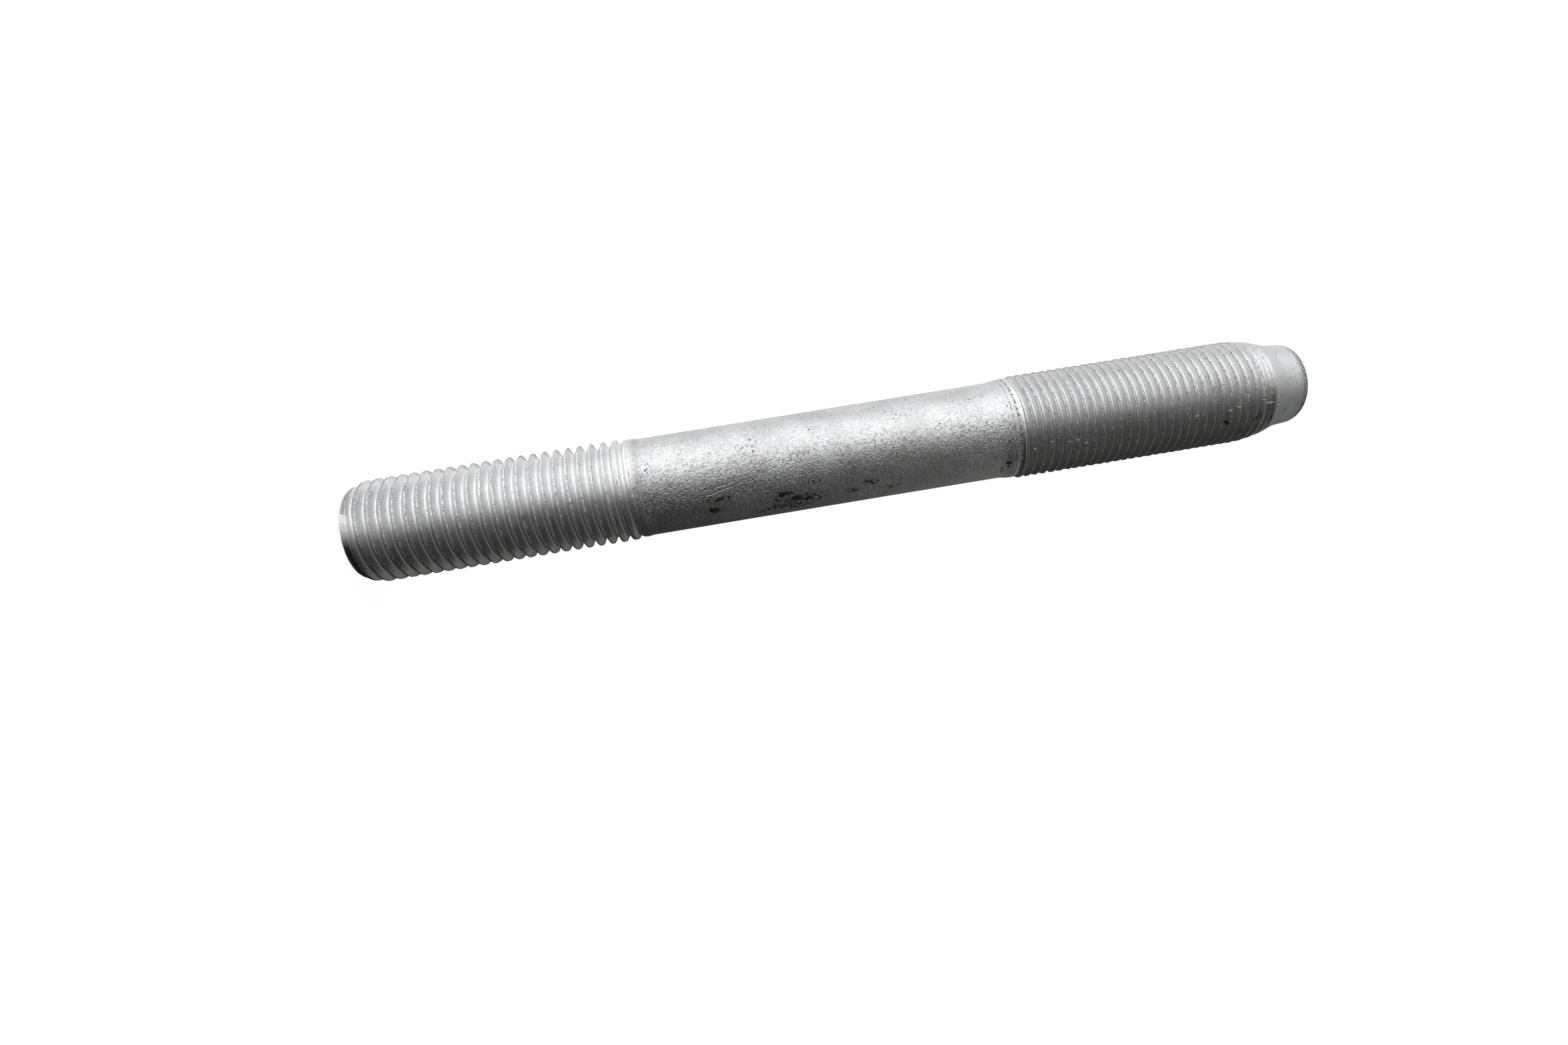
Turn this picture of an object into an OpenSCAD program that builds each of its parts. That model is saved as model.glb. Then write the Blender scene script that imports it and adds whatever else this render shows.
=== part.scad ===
// Double-ended wheel stud: a coarse thread that stays in the hub, a plain shank,
// a fine thread for the wheel nut, and a plain dog point that leads the nut on.
// The stud is one rolled piece of steel. It stands on its hub end, and +Z runs
// along its axis to the dog point. Lengths and diameters are in millimetres.

/* [Hub thread] */
// Outside diameter of the hub thread
hub_thread_d = 21.8; // [21.6:0.05:24]
// Pitch of the hub thread
hub_pitch = 2.5; // [1.5:0.25:2.5]
// Length of the hub thread, from the end face to its last turn
hub_thread_len = 59.2; // [40:0.1:80]
// Length over which the hub thread gets shallower beside the shank
hub_runout = 6; // [3:0.5:8]
// Share of the full depth at the hub thread's last turn
hub_last_depth = 0.5; // [0.2:0.05:1]
// Length of the shoulder between the hub thread and the shank
hub_shoulder_len = 4; // [2:0.5:6]

/* [Nut thread] */
// Outside diameter of the nut thread
nut_thread_d = 22.15; // [21.6:0.05:24]
// Pitch of the nut thread: fourteen threads to the inch
nut_pitch = 1.814; // [1.25:0.001:2]
// Length of the nut thread, from its first turn to the dog point
nut_thread_len = 55.7; // [40:0.1:80]
// Length over which the nut thread gets shallower beside the shank
nut_runout = 2; // [1:0.5:5]
// Share of the full depth at the nut thread's first turn
nut_last_depth = 0.2; // [0.1:0.05:1]
// Length of the shoulder between the shank and the nut thread
nut_shoulder_len = 4.5; // [2:0.5:6]

/* [Shank] */
// Diameter of the plain shank
shank_d = 20.8; // [20.4:0.1:21.4]
// Length of the plain shank, between the two threads
shank_len = 80.1; // [20:0.1:120]

/* [Hub end] */
// Diameter of the flat face on the hub end
hub_face_d = 18.2; // [16:0.1:20]
// Length of the rounded lead of the hub thread
hub_lead_len = 4.7; // [2.5:0.1:6]

/* [Dog point] */
// Length of the rounded lead at the outer end of the nut thread
nut_lead_len = 6.2; // [3:0.1:8]
// Diameter of the nut thread where its lead ends
nut_lip_d = 20.5; // [19:0.1:21]
// Length of the dog point, from the end of the thread to its tip
dog_len = 9.6; // [8:0.1:16]
// Length of the neck between the thread and the dog point
neck_len = 3.8; // [2:0.1:5]
// Diameter of the dog point at the foot of its neck
dog_d = 17.8; // [16:0.1:18.5]
// Half angle of the dog point's taper, in degrees
dog_taper = 5; // [0:0.5:10]
// Radius of the rounded edge at the tip
tip_round = 2.6; // [1:0.1:3.5]
// Step between the thread's lip and the neck
lip_step = 0.1; // [0.05:0.05:0.3]

/* [Hidden] */
$fn = 96;

// Thread form: 60 degrees between the flanks and a rounded root, in shares of the pitch
flank_angle = 30;
depth_share = 0.6134;
root_round_share = 0.1443;
// How far a groove's cutter reaches past the crest
cutter_spare = 0.5;
// Share of a root's radius at which the flanks start, so that they cross its arc
flank_start = 0.97;
// Share of a lead's end radius that is filled by a plain cylinder
lead_core = 0.9;
// How far the tip's arc stands out past the taper, so that the two cross
tip_spare = 0.01;

shank_z = hub_thread_len;
nut_z = shank_z + shank_len;
dog_z = nut_z + nut_thread_len;
neck_z = dog_z + neck_len;
tip_z = dog_z + dog_len;

// Centre of the tip's rounded edge, which is tangent to the tapered dog point
tip_arc_z = tip_z - tip_round;
tip_tangent_z = tip_arc_z + tip_round * sin(dog_taper);
tip_tangent_r = dog_r(tip_tangent_z);
tip_arc_r = tip_tangent_r - tip_round * cos(dog_taper);

// Radius of the dog point at height z
function dog_r(z) = dog_d / 2 - (z - neck_z) * tan(dog_taper);

// Radius of an arc that is tangent to the full radius and drops by drop over length
function lead_arc_r(drop, length) = (length * length + drop * drop) / (2 * drop);

// Share of the full groove depth at a distance from the shank's end of a thread
function depth_at(distance, runout, last_depth) =
    min(1, last_depth + (1 - last_depth) * distance / runout);

// Half profile of a rounded lead that grows from end_r to full_r over length
module lead_profile(end_r, full_r, length) {
    arc_r = lead_arc_r(full_r - end_r, length);
    square([end_r * lead_core, length]);
    intersection() {
        square([full_r, length]);
        translate([full_r - arc_r, length]) circle(arc_r);
    }
}

// Half profile of the stud before its threads are rolled
module blank_profile() {
    hub_r = hub_thread_d / 2;
    nut_r = nut_thread_d / 2;
    shank_r = shank_d / 2;
    lip_r = nut_lip_d / 2;

    lead_profile(hub_face_d / 2, hub_r, hub_lead_len);
    polygon([
        [0, hub_lead_len],
        [hub_r, hub_lead_len],
        [hub_r, shank_z - hub_shoulder_len / 2],
        [shank_r, shank_z + hub_shoulder_len / 2],
        [shank_r, nut_z - nut_shoulder_len / 2],
        [nut_r, nut_z + nut_shoulder_len / 2],
        [nut_r, dog_z - nut_lead_len],
        [0, dog_z - nut_lead_len]
    ]);
    translate([0, dog_z]) mirror([0, 1]) lead_profile(lip_r, nut_r, nut_lead_len);
    intersection() {
        polygon([
            [0, dog_z],
            [lip_r - lip_step, dog_z],
            [dog_d / 2, neck_z],
            [dog_r(tip_z), tip_z],
            [0, tip_z]
        ]);
        union() {
            translate([0, dog_z]) square([lip_r, tip_tangent_z - dog_z]);
            translate([0, tip_arc_z - tip_round])
                square([tip_arc_r + tip_spare, 2 * tip_round]);
            translate([tip_arc_r + tip_spare, tip_arc_z]) circle(tip_round);
        }
    }
}

// Half profile of one groove, centred on height z, cut to a share of its full depth
module groove_profile(z, thread_d, pitch, share) {
    round_r = root_round_share * pitch;
    depth = depth_share * pitch * share;
    foot = -flank_start * round_r * sin(flank_angle);
    foot_half = flank_start * round_r * cos(flank_angle);
    reach = depth - round_r + cutter_spare;
    reach_half = foot_half + (reach - foot) * tan(flank_angle);
    translate([thread_d / 2 - depth + round_r, z]) {
        circle(round_r);
        polygon([
            [foot, -foot_half],
            [reach, -reach_half],
            [reach, reach_half],
            [foot, foot_half]
        ]);
    }
}

// Half profile of the hub thread's grooves, counted from the shank
module hub_grooves() {
    count = floor(hub_thread_len / hub_pitch);
    for (i = [0:count - 1]) {
        distance = (i + 0.5) * hub_pitch;
        share = depth_at(distance, hub_runout, hub_last_depth);
        groove_profile(shank_z - distance, hub_thread_d, hub_pitch, share);
    }
}

// Half profile of the nut thread's grooves, counted from the shank
module nut_grooves() {
    count = floor(nut_thread_len / nut_pitch);
    for (i = [0:count - 1]) {
        distance = (i + 0.5) * nut_pitch;
        share = depth_at(distance, nut_runout, nut_last_depth);
        groove_profile(nut_z + distance, nut_thread_d, nut_pitch, share);
    }
}

module stud() {
    color("silver")
    rotate_extrude()
    difference() {
        blank_profile();
        hub_grooves();
        nut_grooves();
    }
}

stud();
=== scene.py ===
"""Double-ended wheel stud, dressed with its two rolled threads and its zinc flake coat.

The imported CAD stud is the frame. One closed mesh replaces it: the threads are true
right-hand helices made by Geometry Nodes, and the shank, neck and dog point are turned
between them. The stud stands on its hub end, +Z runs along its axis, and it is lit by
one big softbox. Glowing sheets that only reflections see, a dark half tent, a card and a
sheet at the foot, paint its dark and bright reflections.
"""

import logging
import math
from collections.abc import Callable, Iterable, Mapping, Sequence
from dataclasses import dataclass, field
from enum import Enum
from functools import reduce
from operator import add

import bmesh
import bpy
from mathutils import Matrix, Vector, noise


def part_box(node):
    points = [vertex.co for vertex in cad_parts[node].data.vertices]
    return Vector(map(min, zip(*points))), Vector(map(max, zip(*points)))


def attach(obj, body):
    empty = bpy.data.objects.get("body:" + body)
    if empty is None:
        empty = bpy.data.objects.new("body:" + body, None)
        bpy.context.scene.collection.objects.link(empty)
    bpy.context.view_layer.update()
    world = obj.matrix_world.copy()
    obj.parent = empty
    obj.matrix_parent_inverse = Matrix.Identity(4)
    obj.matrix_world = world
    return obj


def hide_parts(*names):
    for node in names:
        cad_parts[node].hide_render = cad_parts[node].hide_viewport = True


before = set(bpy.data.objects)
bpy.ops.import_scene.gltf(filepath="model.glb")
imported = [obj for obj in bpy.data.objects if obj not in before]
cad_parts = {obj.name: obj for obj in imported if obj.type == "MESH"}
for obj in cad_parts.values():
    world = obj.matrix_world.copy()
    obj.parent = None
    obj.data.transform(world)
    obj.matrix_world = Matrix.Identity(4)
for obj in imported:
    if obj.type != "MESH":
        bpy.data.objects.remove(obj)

MM = 0.001
SAME_ROW = 0.1
Colour = tuple[float, float, float, float]
Ring = list[bmesh.types.BMVert]
log = logging.getLogger("wheel_stud")

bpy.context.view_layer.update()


# ---- node graphs


@dataclass(frozen=True)
class Speckle:
    """A noise, and the step that makes a mask of it.

    grain is the size of a lump, detail the number of finer layers, roughness their
    strength and distortion their swirl. The mask grows from 0 at start to 1 at stop.
    """

    grain: float
    detail: float = 2.0
    start: float = 0.0
    stop: float = 1.0
    roughness: float = 0.5
    distortion: float = 0.0


def _operator(operation: str, swapped: bool = False) -> Callable[["Wire", "Wire | float"], "Wire"]:
    """Makes an operator of Wire, which adds one Math node.

    Args:
        operation: the Math node's operation.
        swapped: whether the other value comes first, as in 1 - mask.

    Returns:
        The method.
    """

    def method(wire: "Wire", other: "Wire | float") -> "Wire":
        """The Math node's result on the two values."""
        values = (other, wire) if swapped else (wire, other)
        return wire.graph.math(operation, *values)

    return method


@dataclass(frozen=True)
class Wire:
    """One output socket of a graph, with the arithmetic that adds Math nodes to it."""

    graph: "Graph"
    socket: bpy.types.NodeSocket

    __add__ = _operator("ADD")
    __radd__ = _operator("ADD", swapped=True)
    __sub__ = _operator("SUBTRACT")
    __rsub__ = _operator("SUBTRACT", swapped=True)
    __mul__ = _operator("MULTIPLY")
    __rmul__ = _operator("MULTIPLY", swapped=True)
    __truediv__ = _operator("DIVIDE")
    __rtruediv__ = _operator("DIVIDE", swapped=True)
    least = _operator("MINIMUM")
    most = _operator("MAXIMUM")

    def clamped(self) -> "Wire":
        """Self kept between 0 and 1."""
        return self.most(0.0).least(1.0)

    def root(self) -> "Wire":
        """The square root of self."""
        return self.graph.math("SQRT", self)

    def size(self) -> "Wire":
        """Self without its sign."""
        return self.graph.math("ABSOLUTE", self)

    def other(self, name: str) -> "Wire":
        """Another output of the same node."""
        return Wire(self.graph, self.socket.node.outputs[name])


def hypotenuse(first: Wire, second: Wire) -> Wire:
    """The length of two sides at right angles."""
    return (first * first + second * second).root()


class Graph:
    """A shader or geometry tree that is filled by putting nodes into it."""

    def __init__(self, tree: bpy.types.NodeTree) -> None:
        """Starts on a tree, which is emptied."""
        self.tree = tree
        tree.nodes.clear()

    def put(
        self,
        kind: str,
        settings: Mapping[str, object] | None = None,
        inputs: Mapping[str | int, object] | None = None,
        output: str | int = 0,
    ) -> Wire:
        """Adds a node.

        Args:
            kind: the node's type.
            settings: its own settings, set before its sockets.
            inputs: values or wires by the name or number of the socket.
            output: the name or number of the output to return.

        Returns:
            The wire from that output.
        """
        node = self.tree.nodes.new(kind)
        for name, value in (settings or {}).items():
            setattr(node, name, value)
        for key, value in (inputs or {}).items():
            if isinstance(value, Wire):
                self.tree.links.new(value.socket, node.inputs[key])
            else:
                node.inputs[key].default_value = value
        if not len(node.outputs):
            return Wire(self, node.inputs[0])
        return Wire(self, node.outputs[output])

    def math(self, operation: str, *values: "Wire | float") -> Wire:
        """Adds a Math node on one, two or three values and returns its result."""
        return self.put("ShaderNodeMath", {"operation": operation}, dict(enumerate(values)))

    def vector(self, operation: str, *values: "Wire | tuple") -> Wire:
        """Adds a Vector Math node and returns its result."""
        return self.put("ShaderNodeVectorMath", {"operation": operation}, dict(enumerate(values)))

    def point(self, *axes: "Wire | float") -> Wire:
        """Adds a Combine XYZ node and returns its vector."""
        return self.put("ShaderNodeCombineXYZ", inputs=dict(enumerate(axes)))

    def ease(self, value: Wire, start: float, stop: float) -> Wire:
        """Adds a smooth step from 0 at start to 1 at stop.

        Args:
            value: what is measured.
            start: where the step begins.
            stop: where the step ends.

        Returns:
            The step, from 0 to 1.
        """
        if start > stop:
            return 1.0 - self.ease(value, stop, start)
        sockets = {0: value, 1: start, 2: stop, 3: 0.0, 4: 1.0}
        return self.put("ShaderNodeMapRange", {"interpolation_type": "SMOOTHSTEP"}, sockets)

    def blend(self, share: Wire, first: object, second: object) -> Wire:
        """Adds a colour mix from first to second by share and returns the colour."""
        sockets = {0: share, 6: first, 7: second}
        return self.put("ShaderNodeMix", {"data_type": "RGBA"}, sockets, output=2)

    def speckle(self, place: Wire, layer: Speckle, output: str | int = 0) -> Wire:
        """Adds a noise texture.

        Args:
            place: where the noise is read.
            layer: the noise.
            output: the output to return.

        Returns:
            The noise, about 0.5 on average.
        """
        sockets = {
            "Vector": place,
            "Scale": 1.0 / layer.grain,
            "Detail": layer.detail,
            "Roughness": layer.roughness,
            "Distortion": layer.distortion,
        }
        return self.put("ShaderNodeTexNoise", {"noise_dimensions": "3D"}, sockets, output)

    def step(self, value: Wire, layer: Speckle) -> Wire:
        """Adds the step that makes a mask of a noise's value."""
        return self.ease(value, layer.start, layer.stop)

    def mask(self, place: Wire, layer: Speckle) -> Wire:
        """Adds a noise texture and the step that makes a mask of it."""
        return self.step(self.speckle(place, layer), layer)


def new_material(name: str) -> tuple[bpy.types.Material, Graph]:
    """Makes an empty material.

    Args:
        name: its name.

    Returns:
        The material and its graph.
    """
    material = bpy.data.materials.new(name)
    material.use_nodes = True
    return material, Graph(material.node_tree)


def put_in_scene(name: str, data: bpy.types.ID) -> bpy.types.Object:
    """Makes an object and links it to the scene.

    Args:
        name: its name.
        data: its mesh, lamp or camera.

    Returns:
        The object.
    """
    made = bpy.data.objects.new(name, data)
    bpy.context.scene.collection.objects.link(made)
    return made


# ---- threads


class ShankSide(Enum):
    """Where the plain shank lies as seen from a thread, as the sign of Z."""

    ABOVE = 1.0
    BELOW = -1.0


@dataclass(frozen=True)
class ThreadForm:
    """A thread's form in nodes, at a height and a share of the way round."""

    g: Graph
    given: Wire
    height: Wire
    around: Wire
    flank_angle: float = math.radians(30)
    narrowest_edge: float = 0.17
    widest_edge: float = 0.4375
    least_groove: float = 0.02 * MM
    seam_growth: float = 3.0
    burrs: Speckle = Speckle(0.55 * MM, 1.0, 0.35, 0.75)
    struck: Speckle = Speckle(2.6 * MM, 0.0, 0.42, 0.55)
    stray: Speckle = Speckle(1.7 * MM, 0.0, 0.70, 0.80)
    nick_half_angle: float = math.radians(4.0)

    def __getitem__(self, name: str) -> Wire:
        """An input of the tree."""
        return self.given.other(name)

    @property
    def from_root(self) -> Wire:
        """Turns to the nearest root's middle, 0 to 0.5."""
        turns = (self.height - self["Groove Height"]) / self["Pitch"] - self.around
        return (turns - self.g.math("ROUND", turns)).size()

    @property
    def from_shank(self) -> Wire:
        """Distance from the thread's end at the shank, negative past it."""
        return (self["Shank Height"] - self.height) * self["Side"]

    @property
    def from_lead(self) -> Wire:
        """Distance from the outer end of the lead."""
        return (self.height - self["Lead Height"]) * self["Side"]

    @property
    def depth(self) -> Wire:
        """Depth of the root below the crest."""
        return self["Pitch"] * self["Depth Share"] * self.share()

    @property
    def ball(self) -> Wire:
        """Radius of the rounded root."""
        return self["Pitch"] * self["Root Share"]

    def share(self) -> Wire:
        """Works out the share of the full groove depth.

        Returns:
            The share, which falls along the run-out and fades out past the last turn.
        """
        distance, last = self.from_shank, self["Last Depth"]
        grown = last + (1.0 - last) * distance / self["Runout"]
        faded = 1.0 + distance / self["Fade"]
        return grown.clamped() * faded.clamped()

    def envelope(self) -> Wire:
        """Works out the blank: its lead, its full size and its shoulder.

        Returns:
            The blank's radius.
        """
        full, shank, length = self["Crest Radius"], self["Shank Radius"], self["Lead Length"]
        drop = full - self["Lead Radius"]
        arc = (length * length + drop * drop) / (2.0 * drop)
        inward = (length - self.from_lead).most(0.0)
        lead = full - arc + (arc * arc - inward * inward).root()
        climb = self.from_shank / self["Shoulder Length"] + 0.5
        return lead.least(shank + (full - shank) * climb.clamped())

    def groove_depth(self) -> Wire:
        """Works out the depth across the rounded root and the two slightly hollow flanks.

        Returns:
            The depth below the crest radius.
        """
        pitch, ball, depth = self["Pitch"], self.ball, self.depth
        aside = self.from_root * pitch
        in_root = depth - ball + (ball * ball - aside * aside).most(0.0).root()
        ball_edge = ball * math.cos(self.flank_angle)
        on_flank = depth - ball * (1.0 - math.sin(self.flank_angle))
        on_flank = on_flank - (aside - ball_edge) / math.tan(self.flank_angle)
        beyond = self.g.math("GREATER_THAN", aside, ball_edge)
        across = ((aside - ball_edge) / (self.widest_edge * pitch - ball_edge)).clamped()
        hollow = across * (1.0 - across) * (4.0 * pitch) * self["Hollow Share"]
        depth = (in_root + (on_flank - in_root) * beyond).most(0.0)
        return depth + hollow * self.g.math("GREATER_THAN", depth, self.least_groove)

    def crest_edge(self) -> Wire:
        """Works out where a flank meets the blank's surface.

        Returns:
            The phase, wider where the groove is deep and the blank is whole.
        """
        ball = self.ball
        missing = self["Crest Radius"] - self.envelope()
        rise = self.depth - missing - ball * (1.0 - math.sin(self.flank_angle))
        edge = ball * math.cos(self.flank_angle) + rise * math.tan(self.flank_angle)
        return (edge / self["Pitch"]).most(self.narrowest_edge).least(self.widest_edge)

    def crest_gap(self) -> Wire:
        """Works out the distance along the axis to the crest's middle, where the seam runs.

        Returns:
            The distance, which grows past the thread's ends so that the seam stops there.
        """
        ended = 1.0 - (self.share() * self.seam_growth).clamped()
        ended = ended.most(self.g.math("LESS_THAN", self.from_lead, self["Seam Margin"]))
        ended = ended.most(self.g.math("LESS_THAN", self.from_shank, self["Seam Start"]))
        return (0.5 - self.from_root) * self["Pitch"] + ended * self["Pitch"]

    def wear(self, place: Wire, angle: Wire, on_middle: Wire) -> Wire:
        """Works out the crest's seam, its burrs and its nicks.

        Args:
            place: the point on the true surface.
            angle: the angle round the axis.
            on_middle: 1 on the row along the crest's middle.

        Returns:
            How far the crest lies below its true radius.
        """
        g = self.g
        shifted = g.vector("ADD", place, g.point(self["Seed"]))
        ragged = g.mask(shifted, self.burrs) * self["Crest Wear"]
        off = g.math("WRAP", angle - self["Nick Angle"], math.pi, -math.pi).size()
        along = (1.0 - off / self.nick_half_angle).clamped() * g.mask(shifted, self.struck)
        nick = along.most(g.mask(shifted, self.stray)) * self["Nick Depth"]
        return ragged + on_middle * self["Seam Depth"] + nick


@dataclass(frozen=True)
class RolledThread:
    """A right-hand 60 degree rolled thread with a rounded lead and a run-out.

    The thread is skinned as a tube of helical rows: ten rows to each turn follow the
    crest, the two flanks and the root. Rows past either end lie on its edge ring and are
    merged, so the tube ends in two rings. Every number here is an input of the tree.
    """

    name: str
    side: ShankSide
    crest_radius: float
    pitch: float
    lead_height: float
    lead_radius: float
    lead_length: float
    shank_radius: float
    shank_height: float
    shoulder_length: float
    runout: float
    last_depth: float
    groove_height: float
    seam_margin: float
    seam_start: float
    fade: float
    seed: float
    nick_angle: float
    segments: int
    nick_depth: float = 0.16 * MM
    crest_wear: float = 0.09 * MM
    seam_depth: float = 0.05 * MM
    depth_share: float = 0.5778
    root_share: float = 0.18
    hollow_share: float = 0.045
    rows_per_turn: int = 10
    merge_distance: float = 0.001 * MM

    @property
    def low_z(self) -> float:
        """Height of the lower edge ring."""
        return self.lead_height if self.side is ShankSide.ABOVE else self._shoulder_end

    @property
    def high_z(self) -> float:
        """Height of the upper edge ring."""
        return self._shoulder_end if self.side is ShankSide.ABOVE else self.lead_height

    @property
    def _shoulder_end(self) -> float:
        """Height at which the shoulder meets the plain shank."""
        return self.shank_height + self.side.value * self.shoulder_length / 2

    def mesh(self, coat: bpy.types.Material) -> bpy.types.Mesh:
        """Makes the thread as a plain mesh.

        Args:
            coat: the material that the tree sets.

        Returns:
            The tube, open at its two edge rings, with its "crest_gap" attribute.
        """
        spare_turns = 2
        turns_below = math.ceil((self.groove_height - self.low_z) / self.pitch) + spare_turns
        first_z = self.groove_height - turns_below * self.pitch
        turns = math.ceil((self.high_z - first_z) / self.pitch) + spare_turns
        values = {
            name.replace("_", " ").title(): value
            for name, value in vars(self).items()
            if isinstance(value, (float, int))
        }
        values |= {
            "Groove Height": first_z,
            "Low End": self.low_z,
            "High End": self.high_z,
            "Side": self.side.value,
            "Rows": turns * self.rows_per_turn + 1,
            "Coat": coat,
        }
        tree = self._tree(values)
        carrier = put_in_scene(self.name, bpy.data.meshes.new(self.name))
        rolled = carrier.modifiers.new("rolled_thread", "NODES")
        rolled.node_group = tree
        for item in tree.interface.items_tree:
            if item.item_type == "SOCKET" and item.in_out == "INPUT":
                rolled[item.identifier] = values[item.name]
        graph = bpy.context.evaluated_depsgraph_get()
        made = bpy.data.meshes.new_from_object(
            carrier.evaluated_get(graph), preserve_all_data_layers=True, depsgraph=graph
        )
        carrier.modifiers.remove(rolled)
        bpy.data.objects.remove(carrier)
        return made

    def _tree(self, values: Mapping[str, object]) -> bpy.types.NodeTree:
        """Builds the Geometry Nodes tree.

        Args:
            values: the named inputs, whose types say which sockets are made.

        Returns:
            The tree.
        """
        tree = bpy.data.node_groups.new(f"{self.name}_rolls", "GeometryNodeTree")
        kinds = {float: "NodeSocketFloat", int: "NodeSocketInt"}
        for name, value in values.items():
            kind = kinds.get(type(value), "NodeSocketMaterial")
            tree.interface.new_socket(name, in_out="INPUT", socket_type=kind)
        tree.interface.new_socket("Thread", in_out="OUTPUT", socket_type="NodeSocketGeometry")
        g = Graph(tree)
        given = g.put("NodeGroupInput")

        counts = {"Vertices X": given.other("Segments") + 1.0, "Vertices Y": given.other("Rows")}
        blank = g.put("GeometryNodeMeshGrid", inputs={"Size X": 1.0, "Size Y": 1.0, **counts})
        place = g.put("GeometryNodeInputPosition")
        flat = g.put("ShaderNodeSeparateXYZ", inputs={0: place})
        around = flat.other("X") + 0.5
        row = g.math("ROUND", (flat.other("Y") + 0.5) * (given.other("Rows") - 1.0))
        turn = g.math("FLOOR", row / given.other("Rows Per Turn"))
        rows_below_root, crest_step = 4.0, 5.0
        step = row - turn * given.other("Rows Per Turn") - rows_below_root

        full_thread = self._row_phase(g, step, ThreadForm.widest_edge)
        rough = ThreadForm(g, given, self._row_height(given, turn + full_thread, around), around)
        phase = self._row_phase(g, step, rough.crest_edge())
        height = self._row_height(given, turn + phase, around)
        height = height.most(given.other("Low End")).least(given.other("High End"))

        form = ThreadForm(g, given, height, around)
        crest = form.envelope()
        radius = crest.least(form["Crest Radius"] - form.groove_depth())
        crest_slack, wear_growth = 0.002 * MM, 4.0
        on_crest = g.math("LESS_THAN", crest - radius, crest_slack)
        angle = around * math.tau
        cos, sin = g.math("COSINE", angle), g.math("SINE", angle)
        on_middle = g.math("COMPARE", step, crest_step, SAME_ROW)
        wear = form.wear(g.point(radius * cos, radius * sin, height), angle, on_middle) * on_crest
        radius = radius - wear * (form.share() * wear_growth).clamped()

        marked = g.put(
            "GeometryNodeStoreNamedAttribute",
            {"data_type": "FLOAT", "domain": "POINT"},
            {"Geometry": blank, "Name": "crest_gap", "Value": form.crest_gap()},
        )
        final = g.point(radius * cos, radius * sin, height)
        moved = g.put("GeometryNodeSetPosition", inputs={"Geometry": marked, "Position": final})
        merging = {"Geometry": moved, "Distance": given.other("Merge Distance")}
        closed = g.put("GeometryNodeMergeByDistance", inputs=merging)
        real = g.put("GeometryNodeRealizeInstances", inputs={"Geometry": closed})
        coating = {"Geometry": real, "Material": given.other("Coat")}
        g.put("NodeGroupOutput", inputs={0: g.put("GeometryNodeSetMaterial", inputs=coating)})
        return tree

    @staticmethod
    def _row_phase(g: Graph, step: Wire, edge: "Wire | float") -> Wire:
        """Works out where a row lies between two crests.

        Args:
            g: the graph.
            step: the row's number from the root's middle, -4 to 5.
            edge: phase of the crest's edge.

        Returns:
            The phase in turns, 0 in the root's middle and 0.5 on the crest's.
        """
        root_inside, root_edge, crest_middle = 0.08, 0.156, 0.5
        rows = (root_inside, root_edge, (edge + root_edge) * 0.5, edge, crest_middle)
        parts = (
            g.math("COMPARE", step.size(), float(number), SAME_ROW) * place
            for number, place in enumerate(rows, start=1)
        )
        return reduce(add, parts) * g.math("SIGN", step)

    @staticmethod
    def _row_height(given: Wire, turns: Wire, around: Wire) -> Wire:
        """Height of a row's point, which climbs one pitch in a turn."""
        return given.other("Groove Height") + given.other("Pitch") * (turns + around)


# ---- coat


@dataclass(frozen=True)
class Oval:
    """An oval place on the unrolled surface: a scale patch, a knock with its painted glint, or a ring
    mark.
    """

    angle: float
    height: float
    half_across: float
    half_along: float


def ovals(rows: Iterable[tuple[float, float, float, float]]) -> tuple[Oval, ...]:
    """Makes ovals from rows of degrees, height, half width and half length in millimetres."""
    return tuple(Oval(math.radians(turn), *(size * MM for size in sizes)) for turn, *sizes in rows)


@dataclass(frozen=True)
class ScoreLine:
    """A fine line turned round the stud where a thread's roll first touched it."""

    height: float
    half_width: float
    climb: float


@dataclass(frozen=True)
class Scratch:
    """A straight scratch, from one angle and height to another."""

    start: tuple[float, float]
    stop: tuple[float, float]


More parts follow.
